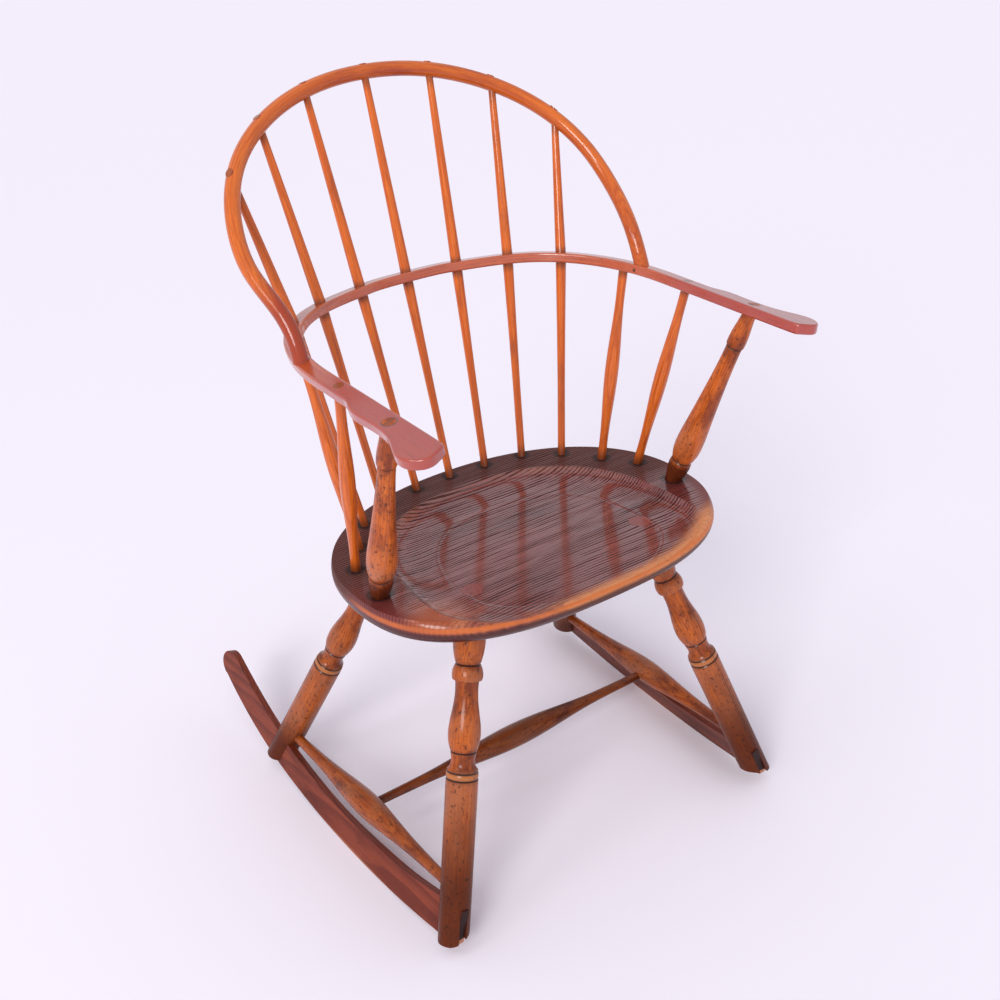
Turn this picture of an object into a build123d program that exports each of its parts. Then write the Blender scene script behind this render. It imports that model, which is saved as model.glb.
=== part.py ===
from build123d import *
import math
import os

os.makedirs("parts", exist_ok=True)

# All sizes in mm. The chair is drawn with the flat spindle deck of the seat at
# height 0, front towards -Y, right towards +X, and stood on its rockers at the end.

# seat plank
seat_half_width = 235.0
seat_mid_y = 25.0
seat_back_reach = 175.0
seat_front_reach = 163.0
seat_back_square = 2.15
seat_front_square = 2.65
seat_thick = 38.0
seat_rim_drop = 16.0
seat_rim_roll = 1.5
seat_front_roll = 10.0
seat_bevel_in = 36.0

# saddled hollow in the seat
dish_half_width = 183.0
dish_mid_y = -50.0
dish_back_reach = 202.0
dish_front_reach = 112.0
dish_back_square = 2.45
dish_front_square = 2.1
dish_depth = 9.5

# joints
fit_gap = 0.12
spindle_socket = 24.0

# arm rail, its height is that of the top face over the seat deck
arm_height = 249.7
arm_pitch = 0.385
arm_roll = 11.0
arm_wide = 19.5
arm_thick = 11.8
arm_edge = 2.4
arm_side_x = 230.8
arm_bend_y = 10.0
arm_bend = [(227.5, 85.0), (213.0, 137.0), (185.0, 185.0), (130.5, 225.5), (68.0, 245.0)]
arm_back_y = 252.0

# hand block glued to the outside of each arm, outwards from the rail centre line
hand_outer = [(15.5, -42.0), (16.6, -68.0), (15.8, -95.0), (21.0, -127.0), (29.5, -149.0)]
hand_tip = [(30.5, -160.0), (25.0, -174.0), (11.0, -182.5), (-3.0, -178.0)]
hand_start_y = -20.0
hand_glue_in = 4.0
hand_inner_y = -158.0

# hoop from its foot on the arm rail to the crown, with heights over arm_height
bow_path = [
    (229.5, 85.5, 1.7),
    (231.0, 104.0, 36.3),
    (241.0, 157.0, 81.3),
    (235.0, 195.0, 118.3),
    (205.5, 241.5, 162.6),
    (136.0, 287.5, 204.5),
    (64.0, 308.0, 223.5),
]
bow_crown = (0.0, 313.0, 228.1)
bow_radius = 8.8
bow_sunk = 12.0
bow_tenon_radius = 5.6
bow_tenon_rise = 4.0
bow_tenon_deep = 8.5
pin_radius = 1.7
pin_long = 16.0
pin_deep = 2.0
pin_under = 6.0

# long spindles, outermost first: place in the seat, in the arm rail, share of the hoop's run
long_points = [
    ((146.5, 143.5), (184.7, 186.1), 0.2325),
    ((103.8, 172.7), (130.8, 224.5), 0.3255),
    ((51.1, 180.6), (67.7, 244.7), 0.411),
    ((0.0, 183.7), (0.0, 251.8), 0.5),
]
# radii by share of the run from seat to rail and from rail to hoop, bent inside the rail
long_low = [(0.35, 4.8), (0.7, 5.6)]
long_bend_radius = 6.6
long_high = [(0.35, 5.8), (0.7, 4.9), (0.93, 4.3)]
long_bend_run = 3.0
spindle_proud = 0.3

# short spindles under the arms, places in the seat and on the arm
short_points = [
    ((178.5, 100.9), (219.3, 105.0)),
    ((205.2, 61.6), (230.5, 3.8)),
]
short_radii = [5.4, 6.8, 8.5, 7.2, 5.4]
arm_spindle_rise = 12.0
corner_spindle_stop = 5.0

# arm posts
post_foot = (210.0, 0.0, 0.0)
post_head = (234.4, -100.0, arm_height + 0.5)
post_cup = [(-8.0, 10.2), (8.0, 11.2), (29.5, 13.2), (32.0, 12.7)]
post_vase = [
    (35.2, 13.0),
    (48.0, 16.0),
    (64.0, 16.6),
    (95.0, 14.6),
    (132.0, 12.2),
    (175.0, 9.9),
    (208.5, 9.3),
]
post_neck = [(212.0, 10.6), (217.0, 10.8), (238.0, 9.3), (262.0, 7.9)]
post_rings = [(33.6, 11.4), (210.3, 8.4)]
post_tenon_radius = 6.8
post_tenon_deep = 25.0
wedge_thick = 1.4
wedge_deep = 12.0

# legs, the profile is (height along the leg from its main dark ring, radius)
front_leg_top = (116.7, -40.2, 0.0)
front_leg_foot = (233.2, -140.1, -370.4)
front_leg_ring = 209.4
rear_leg_top = (107.0, 119.5, 0.0)
rear_leg_foot = (243.2, 273.0, -378.3)
rear_leg_ring = 208.7
leg_foot_radius = 17.9
leg_foot_spare = 12.0
leg_shin = (-32.0, 18.4)
leg_hoop = [(-29.1, 18.0), (-26.4, 18.3), (-23.8, 17.9)]
leg_cove = [(-20.8, 17.4), (-12.8, 13.5), (-6.5, 13.6), (-1.2, 14.6)]
leg_vase = [
    (1.2, 15.0),
    (7.7, 17.0),
    (20.5, 18.3),
    (38.6, 16.4),
    (52.6, 14.1),
    (66.6, 12.9),
    (80.4, 13.5),
]
leg_bead = [(81.6, 16.7), (87.0, 17.5), (93.2, 16.5), (98.0, 14.6)]
leg_knop = [(100.8, 14.4), (113.0, 17.1)]
leg_rings = [(-30.5, 17.3), (-22.3, 16.9), (0.0, 13.9), (99.4, 13.6)]
leg_shoulder_below = 40.0
leg_shoulder_radius = 15.6
leg_tenon_radius = 12.0
front_tenon_rise = 12.0
rear_tenon_stop = 14.0

# stretchers
side_front_reach = 48.0
side_rear_reach = 44.5
stretcher_end_radius = 6.8
side_bulb_radius = 15.5
medial_bulb_radius = 15.5
medial_end_radius = 6.0
medial_drop = 4.0

# rocker boards, drawn on their own plane that leans out with the legs: the running
# edge is a long arc that is level at rocker_mid_y, and a tighter one up to the tail
rocker_lean = 17.9
rocker_mid_x = 247.3
rocker_mid_y = 60.0
rocker_toe = 0.03
rocker_thick = 9.5
rocker_level = -393.2
rocker_radius = 1350.0
rocker_front_y = -152.5
rocker_bend_y = 235.0
rocker_tail_start = (429.0, 63.5)
rocker_tail = (445.5, 82.0)
rocker_over = [
    (-110.0, 52.0),
    (-61.0, 43.0),
    (-1.0, 36.9),
    (63.0, 33.6),
    (110.0, 33.2),
    (152.0, 35.8),
    (227.0, 44.6),
    (284.0, 55.5),
    (350.0, 73.5),
    (412.0, 94.5),
]
rocker_toe_lift = 59.0
rocker_toe_round = 1.5

# the feet are trimmed just clear of the floor, a little more on the inner side
foot_lift = 5.0
foot_trim_tilt = 9.0

# larger than any piece of the chair, for the blocks that cut pieces off
past_all = 600.0


def right_left(shape):
    return shape, mirror(shape, about=Plane.YZ)


def oval_face(half_w, mid_y, back, front, square_back, square_front, height, steps=28):
    points = []
    for i in range(steps):
        a = 2 * math.pi * i / steps
        cx, sy = math.cos(a), math.sin(a)
        power = 2 / (square_back if sy >= 0 else square_front)
        reach = back if sy >= 0 else front
        x = half_w * math.copysign(abs(cx) ** power, cx)
        y = mid_y + reach * math.copysign(abs(sy) ** power, sy)
        points.append((x, y, height))
    return make_face(Wire([Spline(*points, periodic=True)]))


def seat_section(inset, front_inset, height):
    return oval_face(
        seat_half_width - inset,
        seat_mid_y,
        seat_back_reach - inset,
        seat_front_reach - front_inset,
        seat_back_square,
        seat_front_square,
        height,
    )


def dish_section(scale, height):
    return oval_face(
        dish_half_width * scale,
        dish_mid_y,
        dish_back_reach * scale,
        dish_front_reach * scale,
        dish_back_square,
        dish_front_square,
        height,
    )


def between(a, b, t):
    return tuple(p + (q - p) * t for p, q in zip(a, b))


def along(a, b, distance):
    return between(a, b, distance / math.dist(a, b))


def turned(a, b, runs, grow=0.0):
    # lathe work: smooth runs of (distance from a, radius) joined by straight steps
    edges = []
    last = None
    for run in runs:
        points = [(r + grow, 0, t) for t, r in run]
        if last is None:
            edges.append(Line((0, 0, points[0][2]), points[0]))
        else:
            edges.append(Line(last, points[0]))
        if len(points) == 2:
            edges.append(Line(points[0], points[1]))
        elif len(points) > 2:
            edges.append(Spline(*points))
        last = points[-1]
    edges.append(Line(last, (0, 0, last[2])))
    edges.append(Line((0, 0, last[2]), (0, 0, runs[0][0][0])))
    body = revolve(make_face(Wire(edges)), Axis.Z)
    return Plane(origin=a, z_dir=Vector(*b) - Vector(*a)).location * body


def round_bar(points, radii, grow=0.0):
    # bent round bar: circles of the given radii, evenly spaced along a smooth path
    path = Spline(*points)
    steps = len(radii) - 1
    rings = []
    for i, r in enumerate(radii):
        rings.append(Plane(origin=path @ (i / steps), z_dir=path % (i / steps)) * Circle(r + grow))
    return sweep(rings, path=path, multisection=True)


def leg(top, foot, ring_at, tenon_rise, grow=0.0):
    length = math.dist(top, foot)
    shoulder = length - leg_shoulder_below

    def up(run):
        return [(ring_at + h, r) for h, r in run]

    low_ring, hoop_ring, main_ring, bead_ring = [up([ring]) for ring in leg_rings]
    runs = [
        [(-leg_foot_spare, leg_foot_radius)] + up([leg_shin]),
        low_ring,
        up(leg_hoop),
        hoop_ring,
        up(leg_cove),
        main_ring,
        up(leg_vase),
        up(leg_bead),
        bead_ring,
        up(leg_knop) + [(shoulder, leg_shoulder_radius)],
        [(shoulder, leg_tenon_radius), (length + tenon_rise, leg_tenon_radius)],
    ]
    return turned(foot, top, runs, grow)


# rocker board plane, X along the board towards the back, Y up the board
lean = math.radians(rocker_lean)
board_x = rocker_mid_x - rocker_toe * rocker_mid_y
board_dir = Vector(rocker_toe, 1, 0).normalized()
board_up = Vector(-math.sin(lean), 0, math.cos(lean))
board_normal = board_dir.cross(board_up).normalized()
board_plane = Plane(origin=(board_x, 0, rocker_level), x_dir=board_dir, z_dir=board_normal)


def running_edge(drop):
    # the edge that runs on the floor, let down by the drop
    def low_at(y):
        return (y, rocker_radius - math.sqrt(rocker_radius**2 - (y - rocker_mid_y) ** 2) - drop)

    front = ThreePointArc(low_at(rocker_front_y), low_at(rocker_mid_y), low_at(rocker_bend_y))
    tail_start = (rocker_tail_start[0], rocker_tail_start[1] - drop)
    return front, TangentArc(front @ 1, tail_start, tangent=front % 1)


def board_face(drop):
    front, back = running_edge(drop)
    high = Spline((rocker_front_y, rocker_toe_lift), *rocker_over)
    nose = Spline(
        high @ 0,
        (rocker_front_y - rocker_toe_round, rocker_toe_lift / 2),
        front @ 0,
        tangents=(Vector(-0.1, -1), Vector(1, -0.6)),
    )
    tail = Spline(back @ 1, rocker_tail, high @ 1, tangents=(back % 1, -(high % 1)))
    return make_face(Wire([front, back, tail, high, nose]))


def board(thick, drop):
    return board_plane.location * extrude(board_face(drop), amount=thick / 2, both=True)


def board_ahead(thick, drop, reach):
    # the same board run on ahead of its toe, for slots that are open at the front
    low = running_edge(drop)[0] @ 0
    high = Vector(rocker_front_y, rocker_toe_lift)
    corners = [low, high, high - Vector(reach, 0), low - Vector(reach, 0)]
    area = make_face(Wire([Line(p, q) for p, q in zip(corners, corners[1:] + corners[:1])]))
    return board_plane.location * extrude(area, amount=thick / 2, both=True)


def ground(lift, tilt):
    # everything under the running edge, level from side to side or tilted up towards the middle
    front, back = running_edge(-lift)
    deep = 8 * rocker_thick
    corners = [
        back @ 1,
        (back @ 1) + Vector(deep, 0),
        (back @ 1) + Vector(deep, -3 * deep),
        (front @ 0) + Vector(-deep, -3 * deep),
        (front @ 0) + Vector(-deep, 0),
        front @ 0,
    ]
    sides = [Line(p, q) for p, q in zip(corners, corners[1:])]
    across = (math.cos(math.radians(tilt)), 0, -math.sin(math.radians(tilt)))
    area = make_face(Wire([front, back] + sides))
    return extrude(board_plane.location * area, amount=deep, dir=across, both=True)


# ---- seat ----
seat = loft([
    seat_section(seat_rim_roll, seat_front_roll, 0.0),
    seat_section(0.4, seat_front_roll * 0.3, -seat_rim_drop * 0.3),
    seat_section(0.0, 0.0, -seat_rim_drop * 0.75),
    seat_section(2.0, 2.0, -seat_rim_drop * 1.3),
    seat_section(seat_bevel_in * 0.4, seat_bevel_in * 0.4, -seat_thick * 0.78),
    seat_section(seat_bevel_in, seat_bevel_in, -seat_thick),
])
dish = loft([
    dish_section(1.012, 2.0),
    dish_section(1.0, 0.0),
    dish_section(0.965, -dish_depth * 0.5),
    dish_section(0.92, -dish_depth * 0.8),
    dish_section(0.86, -dish_depth * 0.94),
    dish_section(0.78, -dish_depth * 0.99),
    dish_section(0.7, -dish_depth),
])
seat = seat - dish

# ---- legs and rockers ----
rocker = board(rocker_thick, rocker_thick * math.tan(lean)) - ground(0.0, 0.0)
slot_wide = rocker_thick + 2 * fit_gap
slot_drop = 3 * rocker_thick
slot = board(slot_wide, slot_drop) + board_ahead(slot_wide, slot_drop, 2 * leg_foot_radius)
trim = ground(foot_lift, foot_trim_tilt)
over_deck = Pos(0, 0, past_all / 2) * Box(past_all, past_all, past_all)
front_leg = leg(front_leg_top, front_leg_foot, front_leg_ring, front_tenon_rise)
rear_leg = leg(rear_leg_top, rear_leg_foot, rear_leg_ring, -rear_tenon_stop)
front_hole = leg(front_leg_top, front_leg_foot, front_leg_ring, front_tenon_rise, fit_gap)
rear_hole = leg(rear_leg_top, rear_leg_foot, rear_leg_ring, -rear_tenon_stop, fit_gap)
front_leg = front_leg - slot - trim - dish - over_deck
rear_leg = rear_leg - slot - trim


# ---- side stretchers, leg axis to leg axis ----
side_a = along(front_leg_foot, front_leg_top, side_front_reach)
side_b = along(rear_leg_foot, rear_leg_top, side_rear_reach)
side_length = math.dist(side_a, side_b)


def stretcher(a, b, end_r, bulb_r, grow=0.0):
    n = math.dist(a, b)
    half = [(0.0, end_r * 0.9), (0.12, end_r), (0.25, end_r * 1.3), (0.38, bulb_r * 0.83)]
    run = [(n * t, r) for t, r in half] + [(n * 0.5, bulb_r)]
    run += [(n * (1 - t), r) for t, r in reversed(half)]
    return turned(a, b, [run], grow)


side = stretcher(side_a, side_b, stretcher_end_radius, side_bulb_radius)
side_hole = stretcher(side_a, side_b, stretcher_end_radius, side_bulb_radius, fit_gap)
medial_a = between(side_a, side_b, 0.5)
medial_a = (medial_a[0], medial_a[1], medial_a[2] - medial_drop)
medial_b = (-medial_a[0], medial_a[1], medial_a[2])
medial = stretcher(medial_a, medial_b, medial_end_radius, medial_bulb_radius)
medial_hole = stretcher(medial_a, medial_b, medial_end_radius, medial_bulb_radius, fit_gap)
front_leg = front_leg - side_hole
rear_leg = rear_leg - side_hole
side = side - medial_hole

# ---- arm rail with its two glued hand blocks ----
arm_place = Pos(0, 0, arm_height) * Rot(arm_pitch, 0, 0)
roll = math.radians(arm_roll)
bend_points = [(arm_side_x, arm_bend_y)] + arm_bend + [(0.0, arm_back_y)]
half_path = Wire([
    Line((arm_side_x, hand_start_y), (arm_side_x, arm_bend_y)),
    Spline(*bend_points, tangents=(Vector(0, 1), Vector(-1, 0))),
])
rail_plane = Plane(
    origin=(arm_side_x, hand_start_y, 0),
    x_dir=(math.cos(roll), 0, -math.sin(roll)),
    z_dir=(0, 1, 0),
)
section = rail_plane * Pos(0, arm_thick / 2) * RectangleRounded(arm_wide, arm_thick, arm_edge)
half_rail = sweep(section, path=half_path)

# the hand outline lies on the rolled top face, X outwards, Y along the arm
hand_plane = Plane(
    origin=(arm_side_x, 0, 0),
    x_dir=(math.cos(roll), 0, -math.sin(roll)),
    z_dir=(math.sin(roll), 0, math.cos(roll)),
)
half_wide = arm_wide / 2
outline = Spline(
    (half_wide, hand_start_y),
    *hand_outer,
    *hand_tip,
    (-half_wide, hand_inner_y),
    tangents=(Vector(0, -1), Vector(0, 1)),
)
hand_face = make_face(
    Wire([
        outline,
        Line((-half_wide, hand_inner_y), (-half_wide, hand_start_y)),
        Line((-half_wide, hand_start_y), (half_wide, hand_start_y)),
    ])
)
flat_hand = extrude(hand_face, amount=-arm_thick)
round_edges = [
    e
    for e in flat_hand.edges()
    if abs(e.tangent_at(0.5).Z) < 0.5 and abs(e.center().Y - hand_start_y) > 0.5
]
flat_hand = fillet(round_edges, arm_edge)
block_zone = Pos(half_wide - hand_glue_in + past_all / 2, 0, 0) * Box(past_all, past_all, past_all)
hand_block = hand_plane.location * (flat_hand & block_zone)
hand_root = hand_plane.location * (flat_hand - block_zone)
half_rail = arm_place * (half_rail + hand_root)
arm_rail = half_rail + mirror(half_rail, about=Plane.YZ)
hand_block = arm_place * hand_block

# ---- hoop ----
arm_side = arm_place * hand_plane.location
above_arm = arm_side * Pos(0, 0, past_all / 2) * Box(past_all / 2, past_all, past_all)
under_arm = arm_side * Pos(0, 0, past_all / 2 - arm_thick) * Box(past_all / 2, past_all, past_all)
bow_points = [(x, y, arm_height + rise) for x, y, rise in bow_path + [bow_crown]]
bow_points += [(-x, y, z) for x, y, z in reversed(bow_points[:-1])]
bow_foot = bow_points[0]
bow_curve = Spline(*bow_points)
foot_dir = (bow_curve % 0).normalized()
bow_start = tuple(Vector(*bow_foot) - foot_dir * bow_sunk)
bow_run = [bow_start] + bow_points + [(-bow_start[0], bow_start[1], bow_start[2])]
bow_line = Spline(*bow_run)
bow = sweep(Plane(origin=bow_line @ 0, z_dir=bow_line % 0) * Circle(bow_radius), path=bow_line)
foot_place = Plane(origin=bow_foot, z_dir=foot_dir).location
tenon_place = foot_place * Pos(0, 0, (bow_tenon_rise - bow_tenon_deep) / 2)
bow_tenon = tenon_place * Cylinder(bow_tenon_radius, bow_tenon_rise + bow_tenon_deep)
bow_mortise = tenon_place * Cylinder(bow_tenon_radius + fit_gap, bow_tenon_rise + bow_tenon_deep)
pin_at = Vector(*bow_foot) - foot_dir * pin_under
pin_place = Pos(*pin_at) * Rot(0, -90, 0) * Pos(0, 0, -pin_deep)
pin = pin_place * Pos(0, 0, pin_long / 2) * Cylinder(pin_radius, pin_long)
pin_hole = pin_place * Pos(0, 0, pin_long) * Cylinder(pin_radius + fit_gap / 2, 2 * pin_long)
below_rail_top = arm_place * Pos(0, 0, -past_all / 2 - pin_radius) * Box(past_all, past_all, past_all)
bow = bow - below_rail_top - arm_rail
bow = bow + bow_tenon + mirror(bow_tenon, about=Plane.YZ)
for cut in right_left(bow_mortise) + right_left(pin_hole):
    arm_rail = arm_rail - cut
for cut in right_left(pin_hole):
    bow = bow - cut


# ---- spindles ----
def on_arm(place, depth):
    return (arm_place * Pos(*place, -depth)).position


def beyond(origin, direction):
    # everything past the plane through the origin, square to the direction
    return Plane(origin=origin, z_dir=direction).location * Pos(0, 0, past_all / 2) * Box(
        past_all, past_all, past_all
    )


def long_spindle(item, proud, grow=0.0):
    seat_place, rail_place, share = item
    seat_at = Vector(*seat_place)
    bend = on_arm(rail_place, arm_thick / 2)
    hoop_at = bow_curve @ share
    low_run = (bend - seat_at).length
    high_run = (hoop_at - bend).length
    low_dir = (bend - seat_at).normalized()
    high_dir = (hoop_at - bend).normalized()
    low = turned(
        tuple(seat_at),
        tuple(bend),
        [
            [(-spindle_socket, long_low[0][1])],
            [(low_run * t, r) for t, r in long_low] + [(low_run - long_bend_run, long_bend_radius)],
            [(low_run + 2 * long_bend_run, long_bend_radius)],
        ],
        grow,
    )
    high = turned(
        tuple(bend),
        tuple(hoop_at),
        [
            [(-2 * long_bend_run, long_bend_radius)],
            [(long_bend_run, long_bend_radius)] + [(high_run * t, r) for t, r in long_high],
            [(high_run + 2.2 * bow_radius, long_high[-1][1])],
        ],
        grow,
    )
    mitre = low_dir + high_dir
    bar = (low - beyond(bend, mitre)) + (high - beyond(bend, -mitre))
    run = (bow_curve % share).normalized()
    outward = (high_dir - run * high_dir.dot(run)).normalized()
    return bar - beyond(hoop_at + outward * (bow_radius + proud), outward)


def short_spindle(item, rise, grow=0.0):
    seat_at = Vector(*item[0])
    arm_at = on_arm(item[1], 0.0)
    up = (arm_at - seat_at).normalized()
    points = [tuple(seat_at - up * spindle_socket), tuple(arm_at + up * rise)]
    return round_bar(points, [short_radii[0]] + short_radii + [short_radii[-1]], grow)


parts = {}
names = ["outer", "wide", "inner", "centre"]
for name, item in zip(names, long_points):
    bar = long_spindle(item, spindle_proud)
    hole = long_spindle(item, bow_radius, fit_gap)
    sides = [("", bar, hole)]
    if item[0][0] > 0:
        sides = [
            ("right_", bar, hole),
            ("left_", mirror(bar, about=Plane.YZ), mirror(hole, about=Plane.YZ)),
        ]
    for side_name, one, one_hole in sides:
        parts["long_spindle_" + side_name + name] = one
        seat = seat - one_hole
        arm_rail = arm_rail - one_hole
        bow = bow - one_hole

arm_spindle = short_spindle(short_points[1], arm_spindle_rise) - above_arm
arm_spindle_hole = short_spindle(short_points[1], arm_spindle_rise, fit_gap)
corner_spindle = short_spindle(short_points[0], -corner_spindle_stop)
corner_spindle_hole = short_spindle(short_points[0], -corner_spindle_stop, fit_gap)
for name, one, hole in [
    ("arm_spindle", arm_spindle, arm_spindle_hole),
    ("corner_spindle", corner_spindle, corner_spindle_hole),
]:
    parts[name + "_right"], parts[name + "_left"] = right_left(one)
    for cut in right_left(hole):
        seat = seat - cut
        arm_rail = arm_rail - cut

# ---- arm posts with wedged tenons ----
post_length = math.dist(post_foot, post_head)


def post_core(grow=0.0):
    r = post_tenon_radius + grow
    return turned(post_foot, post_head, [[(-post_tenon_deep, r), (post_length + arm_thick, r)]])


low_ring, high_ring = [[ring] for ring in post_rings]
post_body = turned(post_foot, post_head, [post_cup, low_ring, post_vase, high_ring, post_neck])
under_deck = Pos(0, 0, -past_all / 2) * Box(past_all, past_all, past_all)
post_tenon = post_core()
post_hole = post_core(fit_gap)
post = (post_body - under_deck - under_arm) + (post_tenon - above_arm)
post_frame = Plane(origin=post_head, z_dir=Vector(*post_head) - Vector(*post_foot), x_dir=(0, 1, 0))
wedge_slab = post_frame.location * Box(wedge_thick, 4 * post_tenon_radius, 2 * wedge_deep)
wedge = (wedge_slab & post_tenon) - above_arm
post = post - wedge
for cut in right_left(post_hole):
    seat = seat - cut
    arm_rail = arm_rail - cut
hand_block = hand_block - post_hole

# ---- leg sockets ----
for cut in right_left(front_hole) + right_left(rear_hole):
    seat = seat - cut

parts["seat"] = seat
parts["arm_rail"] = arm_rail
parts["bow"] = bow
for name, one in [
    ("hand_block", hand_block),
    ("arm_post", post),
    ("front_leg", front_leg),
    ("rear_leg", rear_leg),
    ("side_stretcher", side),
    ("rocker", rocker),
]:
    parts[name + "_right"], parts[name + "_left"] = right_left(one)
parts["medial_stretcher"] = medial
parts["post_wedges"] = Compound(children=list(right_left(wedge)))
parts["bow_pins"] = Compound(children=list(right_left(pin)))

# ---- stand the chair on its rockers and put the origin under its middle ----
boxes = [shape.bounding_box() for shape in parts.values()]
low_z = min(b.min.Z for b in boxes)
mid_y_now = (min(b.min.Y for b in boxes) + max(b.max.Y for b in boxes)) / 2
home = Pos(0, -mid_y_now, -low_z)
for name, shape in parts.items():
    placed = home * shape
    solids = placed.solids()
    parts[name] = Compound(children=solids) if len(solids) > 1 else solids[0]
    export_step(parts[name], "parts/" + name + ".step")
    print(name, len(solids), round(placed.volume / 1000, 1), placed.is_valid)
print("shift", -mid_y_now, -low_z)
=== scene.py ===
import bpy
import numpy as np
from mathutils import Matrix, Vector

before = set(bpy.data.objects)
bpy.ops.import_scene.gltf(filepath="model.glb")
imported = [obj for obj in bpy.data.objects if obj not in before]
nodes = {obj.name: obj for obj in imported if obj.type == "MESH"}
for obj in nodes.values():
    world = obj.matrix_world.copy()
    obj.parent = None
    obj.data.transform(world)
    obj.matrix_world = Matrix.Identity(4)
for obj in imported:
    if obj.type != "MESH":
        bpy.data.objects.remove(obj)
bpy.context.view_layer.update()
print("frame loaded,", len(nodes), "pieces of wood")

# places on the chair are in metres from the middle of the seat's flat deck:
# x across, y to the back, z up
deckCentre = Vector((0.0, -0.13211, 0.3932))


class Strand:
    # one socket that reads as a number: each operator adds a Math node
    def __init__(self, finish, socket):
        self.finish = finish
        self.socket = socket

    def math(self, operation, *others):
        return self.finish.math(operation, self, *others)

    def __add__(self, other):
        return self.math("ADD", other)

    def __radd__(self, other):
        return self.finish.math("ADD", other, self)

    def __sub__(self, other):
        return self.math("SUBTRACT", other)

    def __rsub__(self, other):
        return self.finish.math("SUBTRACT", other, self)

    def __mul__(self, other):
        return self.math("MULTIPLY", other)

    def __rmul__(self, other):
        return self.finish.math("MULTIPLY", other, self)

    def __truediv__(self, other):
        return self.math("DIVIDE", other)

    def __pow__(self, other):
        return self.math("POWER", other)

    def __abs__(self):
        return self.math("ABSOLUTE")

    def low(self, other):
        return self.math("MINIMUM", other)

    def high(self, other):
        return self.math("MAXIMUM", other)

    def ramp(self, start, end, low=0.0, high=1.0):
        # goes smoothly from low to high as the number goes from start to end
        settings = {"interpolation_type": "SMOOTHSTEP"}
        return self.finish.node("MapRange", settings, {0: self, 1: start, 2: end, 3: low, 4: high})

    def near(self, place, inside, outside, full=1.0):
        # full up to inside away from the place, faded to nothing at outside
        return abs(self - place).ramp(inside, outside, full, 0.0)


class Finish:
    # one material: its nodes come from node(), its changing values go in with set()
    seedSpread = (1.0, 0.37, -0.61)  # how far a seed moves a noise along each axis

    def __init__(self, name, **shader):
        self.material = bpy.data.materials.new(name)
        self.material.use_nodes = True
        self.tree = self.material.node_tree
        self.shader = next(n for n in self.tree.nodes if n.type == "BSDF_PRINCIPLED")
        for key, value in shader.items():
            self.shader.inputs[key].default_value = value

    def node(self, kind, settings=None, values=None, output=0):
        made = self.tree.nodes.new("ShaderNode" + kind)
        for key, value in (settings or {}).items():
            setattr(made, key, value)
        for key, value in (values or {}).items():
            if isinstance(value, Strand):
                self.tree.links.new(value.socket, made.inputs[key])
            else:
                made.inputs[key].default_value = value
        return Strand(self, made.outputs[output])

    def set(self, **values):
        for key, value in values.items():
            self.tree.links.new(value.socket, self.shader.inputs[key.replace("_", " ")])

    def math(self, operation, *values):
        return self.node("Math", {"operation": operation}, dict(enumerate(values)))

    def arrow(self, origin):
        # from the origin to the point that gets its colour
        point = self.node("TexCoord", output=3)
        return self.node("VectorMath", {"operation": "SUBTRACT"}, {0: point, 1: origin})

    def places(self, origin):
        # how far that point lies from the origin along x, y and z
        split = self.node("SeparateXYZ", None, {0: self.arrow(origin)})
        return [Strand(self, socket) for socket in split.socket.node.outputs]

    def noise(self, axes, seed, cells, step, detail, rough):
        # cells is how many there are to a metre on each axis, step tells noises of one seed apart
        places = {i: axes[i] * cells[i] + (seed + step) * self.seedSpread[i] for i in range(3)}
        values = {"Vector": self.node("CombineXYZ", None, places), "Scale": 1.0}
        return self.node("TexNoise", None, {**values, "Detail": detail, "Roughness": rough})

    def mix(self, share, first, second):
        return self.node("Mix", {"data_type": "RGBA"}, {0: share, 6: first, 7: second}, 2)

    def bump(self, height, depth):
        return self.node("Bump", None, {"Height": height, "Distance": depth, "Strength": 1.0})


def span(across, along):
    # length over two distances at right angles
    return (across * across + along * along) ** 0.5


def ovalSpan(u, v, power):
    # (u^power + v^power)^(1/power), which is 1 on the oval
    return (u ** power + v ** power) ** (1.0 / power)


def alongAxis(finish, start, end):
    # the run along the line from start to end and two distances across it, in metres
    axis = (end - start).normalized()
    helper = Vector((0.0, 0.0, 1.0)) if abs(axis.z) < 0.9 else Vector((0.0, 1.0, 0.0))
    side = axis.cross(helper).normalized()
    arrow = finish.arrow(start)
    project = {"operation": "DOT_PRODUCT"}
    return [finish.node("VectorMath", project, {0: arrow, 1: way}, 1) for way in (axis, side, axis.cross(side))]


def alongBend(finish, x, y, bend):
    # a bent piece is half an oval with straight ends towards -y: the run along it
    # and how far out from it a point lies, in metres
    halfWide, reach, power = bend
    v = y.high(0.0) / reach
    run = finish.math("ARCTAN2", v, x / halfWide) * halfWide - y.low(0.0)
    return run, (ovalSpan(abs(x) / halfWide, v, power) - 1.0) * halfWide


def mirrored(point, side):
    return (point[0] * side, point[1], point[2])


def pairs(pieces, seed, step):
    # the right and the left one of each piece, each with a seed of its own
    for pattern, piece in pieces.items():
        for label, side in (("right", 1), ("left", -1)):
            yield pattern % label, piece, side, seed
            seed += step


# what all the wood shares; late and ringEnd are the parts of a ring where it darkens and ends.
# A cut is the value of a noise where a mark starts and the one where it is full,
# and where two more follow, how strong the mark is at those values
woodShape = {
    "late": (0.15, 0.85), "ringEnd": (0.9, 1.0), "poreCut": (0.57, 0.72), "toneCut": (0.2, 0.8),
    "sway": {"step": 0.0, "detail": 2.0, "rough": 0.55},
    "fibre": {"step": 3.0, "detail": 4.0, "rough": 0.65},
    "pores": {"step": 7.0, "detail": 2.0, "rough": 0.6},
}


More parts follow.
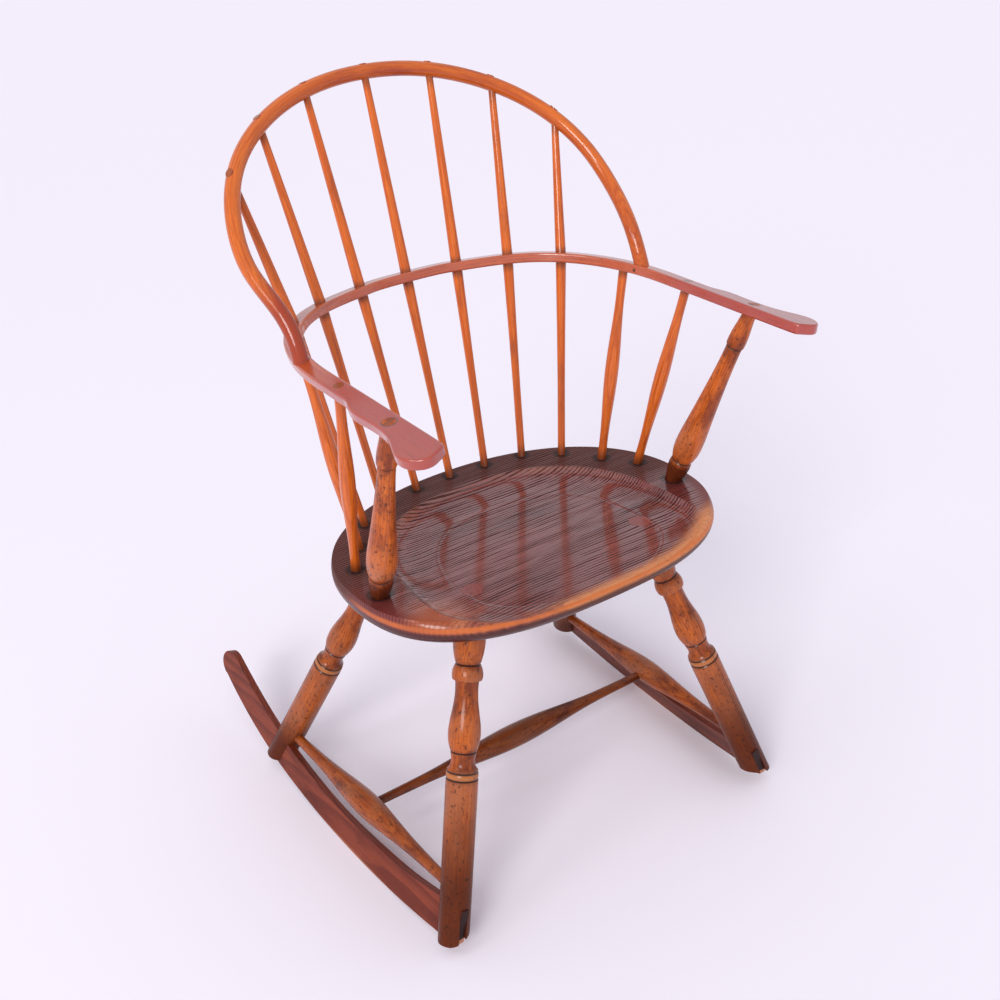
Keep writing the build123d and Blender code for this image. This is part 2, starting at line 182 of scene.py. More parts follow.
def grain(finish, axes, look, seed):
    # growth rings are shells round a pith line beside the piece, swayed by slow noise;
    # fibres and pores are noise drawn out along the run, the first of the axes
    sway, fibre, pores = (finish.noise(axes, seed, look[key + "Cells"], **woodShape[key])
                          for key in ("sway", "fibre", "pores"))
    pithSide, pithRise = look["pith"]
    reach = span(axes[1] - pithSide, axes[2] - pithRise) + (sway - 0.5) * look["sway"]
    ring = (reach / look["ring"]).math("FRACT")
    late = ring.ramp(*woodShape["late"]) * ring.ramp(*woodShape["ringEnd"], 1.0, 0.0)
    return late, fibre, pores.ramp(*woodShape["poreCut"])


def stain(finish, wood, blotch, look):
    # pale and deep stain by ring and fibre, blotches of a second tone, then dark pores
    late, fibre, pores = wood
    tone = late * look["ringShare"] + fibre * (1.0 - look["ringShare"])
    color = finish.mix(tone.ramp(*woodShape["toneCut"]), look["pale"], look["deep"])
    color = finish.mix(blotch, color, look["blotch"])
    return finish.mix(pores * look["poreShare"], color, look["pore"])


def varnish(finish, color, wood, cloud, look, pits=None):
    # clouds and open pores dull the varnish, and fibres, pores and clouds show in its relief
    late, fibre, pores = wood
    rough, relief = look["rough"], look["relief"]
    dull = rough["middle"] + (cloud - 0.5) * rough["cloud"] + pores * rough["pores"]
    height = fibre * relief["fibre"] - pores * relief["pores"] + cloud * relief["cloud"]
    if pits:
        height = height - pits
    normal = finish.bump(height, relief["depth"])
    finish.set(Base_Color=color, Roughness=dull.high(rough["least"]), Normal=normal)


def toned(look, keys, tone):
    # a copy of the look with some of its colours lighter or darker
    changed = {key: tuple(value * tone for value in look[key][:3]) + (1.0,) for key in keys}
    return {**look, **changed}


def dress(name, finish):
    # gives a piece of wood its finish in every slot it has
    piece = nodes[name]
    if not piece.data.materials:
        piece.data.materials.append(finish.material)
    for slot in piece.material_slots:
        slot.material = finish.material


# camera at the height and angle of someone standing off the sitter's right front corner
camera = {
    "place": (-0.76532, -1.20473, 1.15202),
    "forward": (0.49164, 0.73131, -0.47272),
    "right": (0.81628, -0.57611, -0.04231),
    "lens": 47.21,
    "film": 36.0,
    "shift": (-0.0029, -0.0058),
    "farthest": 100.0,
}
lens = bpy.data.cameras.new("camera")
lens.lens, lens.sensor_width, lens.clip_end = camera["lens"], camera["film"], camera["farthest"]
lens.shift_x, lens.shift_y = camera["shift"]
eye = bpy.data.objects.new("camera", lens)
bpy.context.scene.collection.objects.link(eye)
back = -Vector(camera["forward"]).normalized()
right = Vector(camera["right"])
right = (right - back * right.dot(back)).normalized()
turn = Matrix((right, back.cross(right), back)).transposed().to_4x4()
eye.matrix_world = Matrix.Translation(camera["place"]) @ turn
bpy.context.scene.camera = eye
print("camera in place")

# pale room, a broad soft sun and a small lamp that glints on the arms
studio = {
    "room": ((0.945, 0.925, 1.0, 1.0), 0.78),
    "aim": (0.0, 0.0, 0.35),
    "sun": {"from": (-1.9, -1.3, 1.6), "angle": 0.42, "strength": 1.6, "color": (1.0, 0.97, 0.96)},
    "key": {"from": (-1.3, -0.2, 1.5), "size": 0.4, "strength": 2.5, "color": (1.0, 0.97, 0.96)},
    "floor": {"color": (0.93, 0.895, 0.965, 1.0), "reach": 30.0, "rings": 24, "spokes": 96},
}
room = bpy.context.scene.world or bpy.data.worlds.new("room")
bpy.context.scene.world = room
room.use_nodes = True
sky = next(n for n in room.node_tree.nodes if n.type == "BACKGROUND")
sky.inputs["Color"].default_value, sky.inputs["Strength"].default_value = studio["room"]
sun = bpy.data.lights.new("sun", "SUN")
sun.angle = studio["sun"]["angle"]
key = bpy.data.lights.new("key", "AREA")
key.size = studio["key"]["size"]
for lamp in (sun, key):
    settings = studio[lamp.name]
    lamp.energy, lamp.color = settings["strength"], settings["color"]
    holder = bpy.data.objects.new(lamp.name, lamp)
    aim = Vector(studio["aim"]) - Vector(settings["from"])
    turn = aim.to_track_quat("-Z", "Y").to_matrix().to_4x4()
    holder.matrix_world = Matrix.Translation(settings["from"]) @ turn
    bpy.context.scene.collection.objects.link(holder)


def floorDisc(reach, rings, spokes):
    # rings of points at radius reach * t^2 for t from 0 to 1, closed by a fan in the middle
    radii = np.linspace(0.0, 1.0, rings)[1:] ** 2 * reach
    angles = np.linspace(0.0, 2 * np.pi, spokes, endpoint=False)
    across = np.outer(radii, np.cos(angles)).ravel()
    along = np.outer(radii, np.sin(angles)).ravel()
    points = np.column_stack([np.r_[0.0, across], np.r_[0.0, along], np.zeros(across.size + 1)])
    inner = np.arange((rings - 2) * spokes).reshape(rings - 2, spokes) + 1
    after = np.roll(inner, -1, axis=1)
    quads = np.stack([inner, inner + spokes, after + spokes, after], axis=-1).reshape(-1, 4)
    fan = np.column_stack([np.zeros(spokes, int), inner[0], after[0]])
    mesh = bpy.data.meshes.new("floor")
    mesh.from_pydata(points.tolist(), [], fan.tolist() + quads.tolist())
    return mesh


floorLook = studio["floor"]
floorMesh = floorDisc(floorLook["reach"], floorLook["rings"], floorLook["spokes"])
paper = {"Base Color": floorLook["color"], "Roughness": 0.9, "Specular IOR Level": 0.1}
floorMesh.materials.append(Finish("floorPaper", **paper).material)
floorPiece = bpy.data.objects.new("floor", floorMesh)
bpy.context.scene.collection.objects.link(floorPiece)
bpy.context.scene.view_settings.view_transform = "Standard"
print("studio lit")

# seat: ring-porous plank, fibres side to side, a hollow that is glossier than the flat deck,
# a worn front edge and dark rings of old polish round every stick
seatLook = {
    "shader": {"IOR": 1.25, "Coat Roughness": 0.12, "Coat IOR": 1.9}, "seed": 2.0,
    "ring": 0.0038, "pith": (0.85, -0.22), "sway": 0.026, "swayCells": (2.8, 9.0, 9.0),
    "fibreCells": (22.0, 900.0, 900.0), "poresCells": (30.0, 1500.0, 1500.0),
    "slow": {"cells": (7.0, 16.0, 16.0), "step": 2.0, "detail": 3.0, "rough": 0.6},
    "cloud": {"cells": (18.0, 22.0, 22.0), "step": 7.0, "detail": 4.0, "rough": 0.65},
    "speck": {"cells": (160.0, 260.0, 260.0), "step": 3.0, "detail": 3.0, "rough": 0.7},
    "streak": {"cells": (8.0, 170.0, 170.0), "step": 4.0, "detail": 3.0, "rough": 0.6},
    "ringShare": 0.42, "poreShare": 0.45,
    "pale": (0.230, 0.048, 0.040, 1.0), "deep": (0.110, 0.022, 0.020, 1.0),
    "blotch": (0.075, 0.016, 0.015, 1.0), "pore": (0.014, 0.005, 0.005, 1.0),
    "deck": (0.115, 0.050, 0.040, 1.0), "worn": (0.68, 0.27, 0.11, 1.0),
    # arris is also the colour of the painted highlight near the front of the hollow towards -x
    "side": (0.050, 0.009, 0.007, 1.0), "arris": (0.62, 0.15, 0.030, 1.0),
    "dirt": (0.022, 0.010, 0.009, 1.0),
    # half width, middle, reach to the back and to the front, power of the back and the front half
    "hollow": (0.183, -0.050, 0.202, 0.112, 2.45, 2.1),
    "rim": (0.235, 0.025, 0.175, 0.163, 2.15, 2.65),
    # the height where each finish starts and the one where it is full
    "top": (-0.016, -0.006), "under": (-0.010, -0.016), "lines": (-0.017, -0.011), "edge": (-0.03, -0.008),
    # the same from front to back, and across for the worn side
    "deckFrom": (-0.02, 0.05), "wornFrom": (-0.06, -0.1), "ridgeFrom": (0.02, 0.08),
    "arrisFrom": (0.04, -0.02), "wornSide": (-0.15, 0.10),
    "arrisHeight": -0.0085, "arrisWide": (0.001, 0.0045),
    "corner": (-0.175, -0.072, 0.05),  # place and reach of the painted highlight near the front of the hollow towards -x
    # place and radius of each stick and post, and how far the polish reaches from it
    "polish": 0.006,
    "sticks": (
        (0.1465, 0.1435, 0.0075), (0.1038, 0.1727, 0.0075), (0.0511, 0.1806, 0.0075),
        (0.0, 0.1837, 0.0075), (0.1785, 0.1009, 0.0085), (0.2052, 0.0616, 0.0085),
        (0.210, 0.0, 0.0125),
    ),
    "rough": {
        "middle": 0.26, "deck": 0.3, "worn": 0.2, "line": 0.35, "cloud": 0.18, "least": 0.12, "most": 0.85,
    },
    "coat": {"most": 0.95, "deck": 0.85, "worn": 0.7, "line": 0.95, "side": 0.2},
    "relief": {"fibre": 0.3, "line": 0.9, "cloud": 0.5, "depth": 0.00016},
}


def ovalShare(x, y, oval):
    # how far out from the oval's middle a point is, 1 on its edge
    wide, middle, toBack, toFront, backPower, frontPower = oval
    off = y - middle
    u = abs(x) / wide
    behind = ovalSpan(u, off.high(0.0) / toBack, backPower)
    ahead = ovalSpan(u, off.low(0.0) / -toFront, frontPower)
    isAhead = off.math("LESS_THAN", 0.0)
    return behind * (1.0 - isAhead) + ahead * isAhead


def seatFinish():
    look = seatLook
    f = Finish("seatVarnish", **look["shader"])
    axes = x, y, z = f.places(deckCentre)
    wood = late, fibre, pores = grain(f, axes, look, look["seed"])
    slow, cloud, speck, streak = (f.noise(axes, look["seed"], **look[key])
                                  for key in ("slow", "cloud", "speck", "streak"))
    hollow = ovalShare(x, y, look["hollow"])
    rim = ovalShare(x, y, look["rim"])
    top = z.ramp(*look["top"])

    # dark lines of open grain, faint on the rim and none on the side
    line = (late * 0.75 + (fibre - 0.5) * 1.2 + (streak - 0.5) * 2.0).ramp(0.38, 0.76)
    line = line * z.ramp(*look["lines"]) * rim.ramp(0.88, 0.97, 1.0, 0.25)
    color = stain(f, wood, slow.ramp(0.45, 0.75) * 0.6, look)
    color = f.mix(line * 0.75, color, look["pore"])

    # flat deck behind the hollow, browner and duller
    deck = hollow.ramp(0.985, 1.02) * top * y.ramp(*look["deckFrom"])
    deckColor = f.mix((fibre * 0.6 + late * 0.4).ramp(0.3, 0.8), look["deck"], look["pore"])
    color = f.mix(deck * 0.75, color, deckColor)

    # front edge worn to the wood, most towards +x, and a little on the ridge behind the hollow
    edge = rim.ramp(0.86, 0.965) * rim.ramp(1.03, 1.0) * y.ramp(*look["wornFrom"]) * z.ramp(*look["edge"])
    wear = cloud * 1.1 + x.ramp(*look["wornSide"]) * 0.75 + fibre * 0.5 - 0.62
    worn = edge * wear.ramp(0.15, 0.65) * (1.0 - line * 0.6)
    ridge = hollow.ramp(0.94, 0.985) * hollow.ramp(1.02, 0.99) * y.ramp(*look["ridgeFrom"])
    ridge = ridge * (cloud * 1.4 - 0.35).ramp(0.0, 0.8)
    color = f.mix((worn * (1.0 - pores * 0.7)).high(ridge * 0.18), color, look["worn"])

    # a painted highlight near the front of the hollow towards -x, the dark side and the rubbed arris between
    # top and side
    highlightX, highlightY, highlightReach = look["corner"]
    corner = span(x - highlightX, y - highlightY) + (cloud - 0.5) * highlightReach
    color = f.mix(corner.ramp(highlightReach * 0.2, highlightReach, 0.4, 0.0) * top, color, look["arris"])
    color = f.mix(z.ramp(*look["under"]) * rim.ramp(0.9, 0.96) * 0.9, color, look["side"])
    arris = z.near(look["arrisHeight"], *look["arrisWide"]) * y.ramp(*look["arrisFrom"])
    arris = arris * (cloud * 1.2 + 0.1).low(1.0) * rim.ramp(0.96, 0.985)
    color = f.mix(arris, color, look["arris"])

    # specks of dirt, most where the edge is worn, and the polish round the sticks
    dark = speck.ramp(0.60, 0.72) * (0.25 + worn * 0.5)
    for stickX, stickY, radius in look["sticks"]:
        off = span(abs(x) - stickX, y - stickY)
        dark = dark.high(off.ramp(radius, radius + look["polish"], 0.85, 0.0) * top)
    color = f.mix(dark, color, look["dirt"])

    rough, gloss, relief = look["rough"], look["coat"], look["relief"]
    dull = deck * rough["deck"] + worn * rough["worn"] + line * rough["line"]
    dull = dull + (cloud - 0.5) * rough["cloud"] + rough["middle"]
    coat = gloss["most"] - deck * gloss["deck"] - worn * gloss["worn"] - line * gloss["line"]
    coat = coat.high(0.0) * rim.ramp(0.9, 0.97, 1.0, gloss["side"])
    height = fibre * relief["fibre"] - line * relief["line"] + cloud * relief["cloud"]
    f.set(Base_Color=color, Roughness=dull.low(rough["most"]).high(rough["least"]))
    f.set(Coat_Weight=coat, Normal=f.bump(height, relief["depth"]))
    return f


dress("seat", seatFinish())
print("seat finished")

# arm rail and hands: red stain under a bright varnish, the fibres bend round the back
armLook = {
    "shader": {"IOR": 1.6, "Coat Roughness": 0.13, "Coat Weight": 0.9, "Coat IOR": 1.6}, "seed": 11.0,
    "ring": 0.0031, "pith": (0.03, -0.06), "sway": 0.006, "swayCells": (4.0, 30.0, 30.0),
    "fibreCells": (9.0, 420.0, 420.0), "poresCells": (24.0, 1700.0, 1700.0),
    "cloud": {"cells": (14.0, 40.0, 40.0), "step": 1.0, "detail": 4.0, "rough": 0.6},
    "speck": {"cells": (150.0, 260.0, 260.0), "step": 5.0, "detail": 3.0, "rough": 0.7},
    "ringShare": 0.12, "poreShare": 0.4,
    "pale": (0.56, 0.105, 0.020, 1.0), "deep": (0.36, 0.045, 0.010, 1.0),
    "blotch": (0.36, 0.024, 0.010, 1.0), "pore": (0.06, 0.012, 0.008, 1.0), "dirt": (0.05, 0.013, 0.010, 1.0),
    "bend": (0.2308, 0.242, 2.45), "bendStart": 0.010,  # half width, reach and power of the plan
    "redFrom": (0.09, -0.03, 0.0, 0.85), "redCloud": 0.5, "speckCut": (0.64, 0.74, 0.0, 0.5),
    # where the post's tenon comes through with its radius, and the dirty joint round it:
    # from where the dirt grows to where it is full, then from where it fades to where it ends
    "plug": (0.2344, -0.100, 0.0085), "joint": (-0.0022, -0.0012, -0.0008, 0.0006), "jointDirt": 0.75,
    "rough": {"middle": 0.27, "cloud": 0.2, "pores": 0.2, "least": 0.12},
    "relief": {"fibre": 0.4, "pores": 0.6, "cloud": 0.8, "depth": 0.00016},
}


def armFinish():
    look = armLook
    f = Finish("railVarnish", **look["shader"])
    x, y, z = f.places(deckCentre)
    axes = (*alongBend(f, x, y - look["bendStart"], look["bend"]), z)
    wood = grain(f, axes, look, look["seed"])
    cloud = f.noise(axes, look["seed"], **look["cloud"])
    speck = f.noise(axes, look["seed"], **look["speck"])
    red = y.ramp(*look["redFrom"]) + (cloud - 0.5) * look["redCloud"]
    color = stain(f, wood, red.low(1.0).high(0.0), look)

    # dirt in specks and in the joint round each tenon
    plugX, plugY, radius = look["plug"]
    off = span(abs(x) - plugX, y - plugY)
    grows, full, fades, ends = (radius + step for step in look["joint"])
    joint = off.ramp(grows, full, 0.0, look["jointDirt"]) * off.ramp(fades, ends, 1.0, 0.0)
    color = f.mix(speck.ramp(*look["speckCut"]).high(joint), color, look["dirt"])
    varnish(f, color, wood, cloud, look)
    return f


rail = armFinish()
for name in ("arm_rail", "hand_block_right", "hand_block_left"):
    dress(name, rail)
print("arms finished")

# hoop: amber stain, fibres follow the bend in its leaning plane
hoopLook = {
    "shader": {"IOR": 1.2, "Coat Roughness": 0.08, "Coat Weight": 0.8}, "seed": 21.0,
    "ring": 0.0027, "pith": (0.02, 0.05), "sway": 0.005, "swayCells": (5.0, 40.0, 40.0),
    "fibreCells": (12.0, 520.0, 520.0), "poresCells": (30.0, 1900.0, 1900.0),
    "cloud": {"cells": (10.0, 40.0, 40.0), "step": 2.0, "detail": 4.0, "rough": 0.6},
    "ringShare": 0.16, "poreShare": 0.4,
    "pale": (0.72, 0.165, 0.014, 1.0), "deep": (0.46, 0.076, 0.007, 1.0),
    "blotch": (0.33, 0.040, 0.010, 1.0), "pore": (0.08, 0.015, 0.006, 1.0),
    "middle": (0.0, 0.157, 0.331), "lean": (0.729, 0.687), "bend": (0.241, 0.214, 2.0),
    "redCloud": (0.5, 0.8, 0.0, 0.7), "redInner": (-0.002, -0.008, 0.0, 0.3),
    "redFoot": {"height": (0.0, -0.07), "side": (0.0, -0.15), "strength": 0.9},
    "rough": {"middle": 0.32, "cloud": 0.2, "pores": 0.2, "least": 0.12},
    "relief": {"fibre": 0.5, "pores": 0.6, "cloud": 0.5, "depth": 0.00016},
}


def hoopFinish():
    look = hoopLook
    f = Finish("hoopVarnish", **look["shader"])
    x, y, z = f.places(deckCentre + Vector(look["middle"]))
    leanY, leanZ = look["lean"]
    up = y * leanY + z * leanZ
    run, side = alongBend(f, x, up, look["bend"])
    axes = (run, side, y * leanZ - z * leanY)
    wood = grain(f, axes, look, look["seed"])
    cloud = f.noise(axes, look["seed"], **look["cloud"])

    # redder in clouds, on the inner side and at the foot towards -x
    foot = look["redFoot"]
    red = cloud.ramp(*look["redCloud"]) + side.ramp(*look["redInner"])
    red = red + up.ramp(*foot["height"]) * x.ramp(*foot["side"]) * foot["strength"]
    varnish(f, stain(f, wood, red.low(1.0), look), wood, cloud, look)
    return f


dress("bow", hoopFinish())
print("hoop finished")

# sticks: the same amber, each with its own run of grain and darker where it enters the others
stickLook = {
    "shader": {"IOR": 1.2, "Coat Roughness": 0.08, "Coat Weight": 0.8},
    "ring": 0.0024, "pith": (0.012, 0.02), "sway": 0.003, "swayCells": (7.0, 60.0, 60.0),
    "fibreCells": (14.0, 620.0, 620.0), "poresCells": (34.0, 2200.0, 2200.0),
    "cloud": {"cells": (16.0, 60.0, 60.0), "step": 2.0, "detail": 4.0, "rough": 0.6},
    "ringShare": 0.16, "poreShare": 0.45,
    "blotchCut": (0.52, 0.8, 0.0, 0.75),
    "pale": (0.74, 0.165, 0.016, 1.0), "deep": (0.46, 0.074, 0.007, 1.0),
    "blotch": (0.30, 0.055, 0.014, 1.0), "pore": (0.07, 0.015, 0.007, 1.0), "dirt": (0.045, 0.012, 0.008, 1.0),
    # where the dirt is full and where it ends, with its strength
    "seatDirt": (0.0, 0.02, 0.75), "railDirt": (0.006, 0.016, 0.6), "tipDirt": (0.008, 0.024, 0.5),
    "rough": {"middle": 0.33, "cloud": 0.2, "pores": 0.2, "least": 0.15},
    "relief": {"fibre": 0.5, "pores": 0.6, "cloud": 0.4, "depth": 0.00016},
    "seed": 31.0, "seedStep": 3.3,
}
# foot in the seat, place in the rail and tip of each stick on the +x side
sticks = {
    "long_spindle_%s_outer": ((0.1465, 0.1435, 0.0), (0.1847, 0.1861, 0.245), (0.2140, 0.2317, 0.4033)),
    "long_spindle_%s_wide": ((0.1038, 0.1727, 0.0), (0.1308, 0.2245, 0.245), (0.1547, 0.2786, 0.4461)),
    "long_spindle_%s_inner": ((0.0511, 0.1806, 0.0), (0.0677, 0.2447, 0.245), (0.0827, 0.3044, 0.4699)),
    "corner_spindle_%s": ((0.1785, 0.1009, 0.0), (0.2186, 0.1049, 0.245), (0.2268, 0.1058, 0.295)),
    "arm_spindle_%s": ((0.2052, 0.0616, 0.0), (0.2300, 0.0049, 0.245), (0.2350, -0.0064, 0.295)),
}
centreStick = {"line": ((0.0, 0.1837, 0.0), (0.0, 0.2518, 0.245), (0.0, 0.3130, 0.4778)), "seed": 64.0}


def stickFinish(name, line, side, seed):
    # a stick leans one way under the rail and another way over it, so its middle is followed in two lines
    look = stickLook
    foot, bend, tip = (mirrored(point, side) for point in line)
    f = Finish(name, **look["shader"])
    x, y, run = f.places(deckCentre)
    below = run.low(bend[2])
    above = (run - bend[2]).high(0.0)
    axes = [run]
    for i, place in enumerate((x, y)):
        lean = (bend[i] - foot[i]) / bend[2]
        leanOver = (tip[i] - bend[i]) / (tip[2] - bend[2])
        axes.append(place - foot[i] - below * lean - above * leanOver)
    wood = grain(f, axes, look, seed)
    cloud = f.noise(axes, seed, **look["cloud"])
    color = stain(f, wood, cloud.ramp(*look["blotchCut"]), look)
    ends = run.ramp(*look["seatDirt"], 0.0).high(run.near(bend[2], *look["railDirt"]))
    tipFull, tipEnd, tipStrength = look["tipDirt"]
    ends = ends.high(run.ramp(tip[2] - tipEnd, tip[2] - tipFull, 0.0, tipStrength))
    varnish(f, f.mix(ends, color, look["dirt"]), wood, cloud, look)
    return f


for name, line, side, seed in pairs(sticks, stickLook["seed"], stickLook["seedStep"]):
    dress(name, stickFinish(name + "_varnish", line, side, seed))
dress("long_spindle_centre", stickFinish("centre_varnish", centreStick["line"], 1, centreStick["seed"]))
print("spindles finished")

# turned work: legs, posts and stretchers; dark lines in the cut rings, grime in the coves,
# rubbed paler on the swells, legs darker and duller at the feet
turnedLook = {
    "shader": {"IOR": 1.2, "Coat Roughness": 0.14},
    "ring": 0.0026, "pith": (0.006, 0.011), "sway": 0.004, "swayCells": (6.0, 45.0, 45.0),
    "fibreCells": (12.0, 480.0, 480.0), "poresCells": (60.0, 1400.0, 1400.0),
    "cloud": {"cells": (16.0, 42.0, 42.0), "step": 2.0, "detail": 4.0, "rough": 0.65},
    "speck": {"cells": (160.0, 260.0, 260.0), "step": 4.0, "detail": 3.0, "rough": 0.75},
    "patches": {"cells": (30.0, 60.0, 60.0), "step": 6.0, "detail": 3.0, "rough": 0.6},
    "crackSway": {"cells": (20.0, 1.0, 1.0), "step": 9.0, "detail": 3.0, "rough": 0.6},
    "ringShare": 0.15, "poreShare": 0.2,
    "blotchCut": (0.42, 0.62, 0.0, 0.85), "speckCut": (0.56, 0.66, 0.0, 0.75), "pitCut": (0.6, 0.7, 0.0, 0.6),
    "pale": (0.54, 0.128, 0.018, 1.0), "deep": (0.29, 0.048, 0.008, 1.0),
    "blotch": (0.13, 0.020, 0.005, 1.0), "pore": (0.05, 0.013, 0.007, 1.0), "dirt": (0.030, 0.010, 0.007, 1.0),
    "foot": (0.050, 0.008, 0.004, 1.0), "rubbed": (0.52, 0.165, 0.060, 1.0), "band": (0.56, 0.20, 0.060, 1.0),
    "footDark": 0.85, "bandPale": 0.65, "bandEdge": 0.001, "topEdge": (-0.004, -0.001),
    "ringLine": (0.0006, 0.0018, 0.95), "ringGrime": (0.001, 0.006, 0.5),
    "swellEdge": (-0.0015, 0.001), "swellCut": (0.0, 0.7, 0.0, 0.6),
    "crackOff": -0.004, "crackWander": 0.006, "crackLine": (0.0002, 0.0007, 0.85),
    "gloss": 0.7, "tenonGloss": 0.9,
    "rough": {"middle": 0.33, "cloud": 0.25, "pores": 0.2, "least": 0.15},
    "relief": {"fibre": 0.4, "pores": 0.5, "cloud": 0.5, "depth": 0.00018},
    "seed": 71.0, "seedStep": 4.1,
}
# line from foot to head on the +x side; along it the cut rings, the pale band, the dark foot,
# the crack and the tenon's end in the seat; swell is the radius that hands and shoes rub
turnedPieces = {
    "front_leg_%s": {
        "line": ((0.2332, -0.1401, -0.3704), (0.1167, -0.0402, 0.0)),
        "rings": (0.1789, 0.1871, 0.2094, 0.3088), "band": (0.1795, 0.1865), "foot": (0.04, 0.19),
        "swell": 0.0162, "crack": (0.06, 0.08, 0.26, 0.30), "tone": 0.95, "top": 0.372,
    },
    "rear_leg_%s": {
        "line": ((0.2432, 0.2730, -0.3783), (0.1070, 0.1195, 0.0)),
        "rings": (0.1782, 0.1864, 0.2087, 0.3081), "band": (0.1788, 0.1858), "foot": (0.03, 0.10),
        "swell": 0.0162, "tone": 0.85,
    },
    "arm_post_%s": {
        "line": ((0.2100, 0.0, 0.0), (0.2344, -0.1000, 0.2502)),
        "rings": (0.0336, 0.2103), "foot": (0.026, 0.035), "swell": 0.0150, "tone": 1.25,
    },
    "side_stretcher_%s": {
        "line": ((0.21925, -0.12814, -0.32606), (0.22912, 0.25713, -0.33918)),
        "rings": (), "swell": 0.0138, "tone": 0.75,
    },
}
medialPiece = {
    "line": ((0.2242, 0.0645, -0.3366), (-0.2242, 0.0645, -0.3366)),
    "rings": (), "swell": 0.0138, "tone": 0.42, "seed": 103.8,
}


def turnedFinish(name, piece, side, seed):
    look = toned(turnedLook, ("pale", "deep", "blotch", "rubbed"), piece["tone"])
    f = Finish(name, **look["shader"])
    low, high = (deckCentre + Vector(mirrored(point, side)) for point in piece["line"])
    axes = run, across, rise = alongAxis(f, low, high)
    wood = grain(f, axes, look, seed)
    cloud, speck, patches = (f.noise(axes, seed, **look[key]) for key in ("cloud", "speck", "patches"))
    color = stain(f, wood, (cloud * 0.6 + patches * 0.4).ramp(*look["blotchCut"]), look)
    swell = span(across, rise).ramp(*(piece["swell"] + step for step in look["swellEdge"]))
    color = f.mix(swell * (cloud * 1.6 - 0.45).ramp(*look["swellCut"]), color, look["rubbed"])
    coat = cloud * look["gloss"]
    if "foot" in piece:
        color = f.mix(run.ramp(*piece["foot"], look["footDark"], 0.0), color, look["foot"])
        coat = coat * run.ramp(*piece["foot"])
    if "band" in piece:
        start, stop = piece["band"]
        fade = look["bandEdge"]
        band = run.ramp(start - fade, start + fade) * run.ramp(stop - fade, stop + fade, look["bandPale"], 0.0)
        color = f.mix(band, color, look["band"])
    if "top" in piece:
        top = run.ramp(*(piece["top"] + step for step in look["topEdge"]))
        color = f.mix(top, color, seatLook["pale"])
        coat = coat.high(top * look["tenonGloss"])

    # dirt in specks, in and beside the rings, and in the crack of the front leg on the +x side
    dark = speck.ramp(*look["speckCut"])
    for ring in piece["rings"]:
        dark = dark.high(run.near(ring, *look["ringLine"])).high(run.near(ring, *look["ringGrime"]) * cloud)
    if "crack" in piece and side > 0:
        crackStart, crackFull, crackFades, crackEnd = piece["crack"]
        sway = f.noise((run, 0.0, 0.0), seed, **look["crackSway"])
        crack = (across + (sway - 0.5) * look["crackWander"]).near(look["crackOff"], *look["crackLine"])
        crack = crack * run.ramp(crackStart, crackFull) * run.ramp(crackFades, crackEnd, 1.0, 0.0)
        dark = dark.high(crack)
    color = f.mix(dark, color, look["dirt"])
    varnish(f, color, wood, cloud, look, speck.ramp(*look["pitCut"]))
    f.set(Coat_Weight=coat)
    return f


for name, piece, side, seed in pairs(turnedPieces, turnedLook["seed"], turnedLook["seedStep"]):
    dress(name, turnedFinish(name + "_varnish", piece, side, seed))
dress("medial_stretcher", turnedFinish("medial_varnish", medialPiece, 1, medialPiece["seed"]))
print("turned work finished")
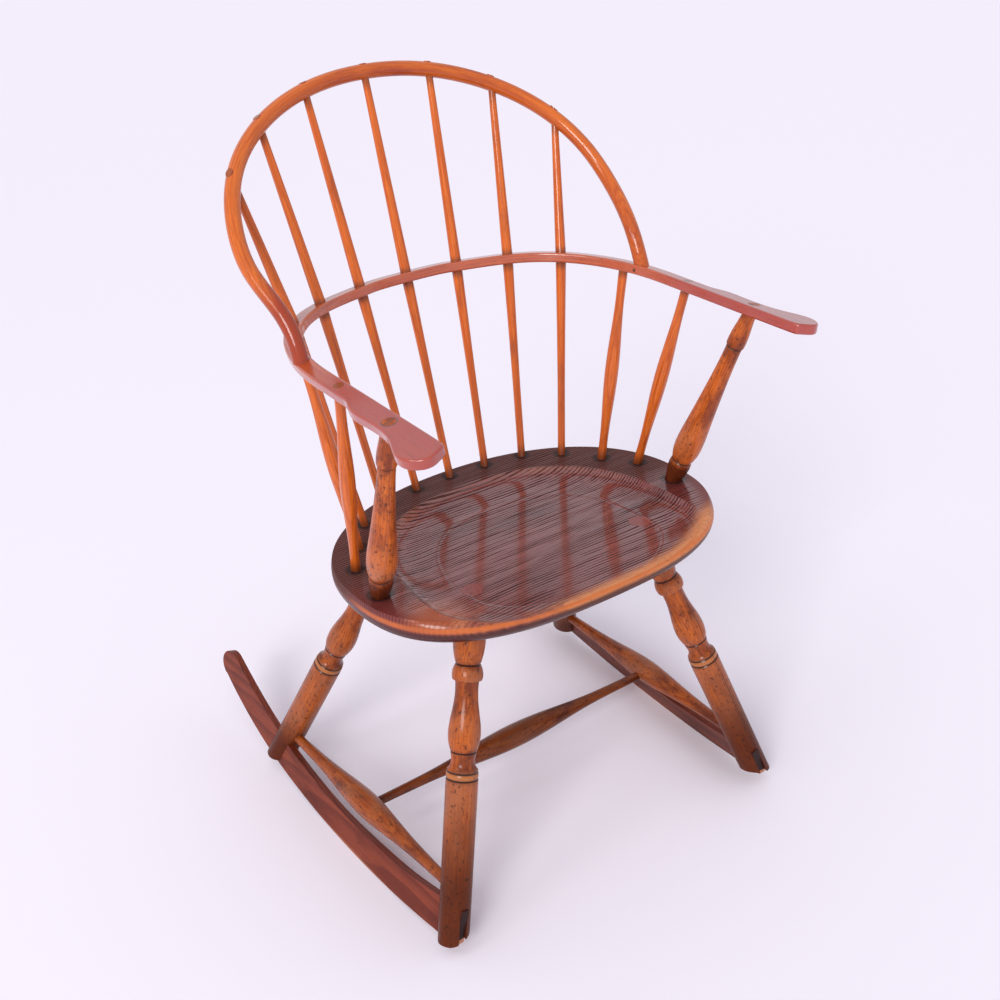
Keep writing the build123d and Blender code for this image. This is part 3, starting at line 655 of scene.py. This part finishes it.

# rockers: sawn boards, fibres along them, worn bright along the edge that runs on the floor,
# painted shade on the toe where it sits in the leg's slot, with a pale tip; places in metres from the middle of
# the two on the floor
rockerLook = {
    "shader": {"IOR": 1.2, "Coat Roughness": 0.2, "Coat Weight": 0.12}, "middle": (0.0, -0.0721, 0.0),
    "ring": 0.0052, "pith": (0.03, -0.09), "sway": 0.010, "swayCells": (4.0, 20.0, 20.0),
    "fibreCells": (9.0, 420.0, 420.0), "poresCells": (22.0, 1500.0, 1500.0),
    "cloud": {"cells": (30.0, 9.0, 24.0), "step": 2.0, "detail": 4.0, "rough": 0.6},
    "speck": {"cells": (260.0, 120.0, 260.0), "step": 4.0, "detail": 3.0, "rough": 0.75},
    "ringShare": 0.25, "poreShare": 0.45,
    "blotchCut": (0.5, 0.78, 0.0, 0.8), "speckCut": (0.62, 0.72, 0.0, 0.5),
    "pale": (0.30, 0.056, 0.024, 1.0), "deep": (0.145, 0.022, 0.011, 1.0),
    "blotch": (0.085, 0.015, 0.008, 1.0), "pore": (0.035, 0.010, 0.008, 1.0), "dirt": (0.02, 0.008, 0.008, 1.0),
    "rubbed": (0.46, 0.19, 0.11, 1.0), "rubbedTo": (0.001, 0.004, 0.6),
    "toe": (-0.2085, -0.2125), "tip": (0.0215, 0.0235), "tipWander": 0.008, "toeShade": 0.95,
    "rough": {"middle": 0.4, "cloud": 0.25, "pores": 0.2, "least": 0.15},
    "relief": {"fibre": 0.5, "pores": 0.6, "cloud": 0.6, "depth": 0.0002},
}
rockers = (
    {"name": "rocker_right", "side": 1, "tone": 0.55, "seed": 101.0},
    {"name": "rocker_left", "side": -1, "tone": 0.78, "seed": 107.0},
)


def rockerFinish(name, side, tone, seed):
    look = toned(rockerLook, ("pale", "deep", "blotch"), tone)
    f = Finish(name + "_varnish", **look["shader"])
    axes = x, y, z = f.places(look["middle"])
    wood = grain(f, (y, x * side, z), look, seed)
    cloud = f.noise(axes, seed, **look["cloud"])
    speck = f.noise(axes, seed, **look["speck"])
    color = stain(f, wood, cloud.ramp(*look["blotchCut"]), look)
    color = f.mix(z.near(0.0, *look["rubbedTo"]), color, look["rubbed"])
    toe = y.ramp(*look["toe"])
    tip = (z + (cloud - 0.5) * look["tipWander"]).ramp(*look["tip"], 1.0, 0.0)
    color = f.mix(toe * tip, color, look["rubbed"])
    # the toe above its tip is painted near-black as shade inside the leg's slot, joined by real specks of dirt
    dark = (toe * (1.0 - tip) * look["toeShade"]).high(speck.ramp(*look["speckCut"]))
    color = f.mix(dark, color, look["dirt"])
    varnish(f, color, wood, cloud, look)
    return f


for rocker in rockers:
    dress(rocker["name"], rockerFinish(**rocker))

# wedges and pins show end grain
pegLook = {
    "pale": (0.16, 0.060, 0.034, 1.0), "deep": (0.055, 0.020, 0.014, 1.0), "shader": {"IOR": 1.5},
    "ends": {"cells": (900.0, 900.0, 900.0), "step": 0.0, "detail": 3.0, "rough": 0.7}, "seed": 3.0,
}
peg = Finish("pegVarnish", **pegLook["shader"])
pegGrain = peg.noise(peg.places((0.0, 0.0, 0.0)), pegLook["seed"], **pegLook["ends"])
pegColor = peg.mix(pegGrain.ramp(0.3, 0.7), pegLook["pale"], pegLook["deep"])
peg.set(Base_Color=pegColor, Roughness=0.35 + pegGrain * 0.25)
for name in ("post_wedges", "bow_pins"):
    dress(name, peg)
print("rockers and pegs finished")
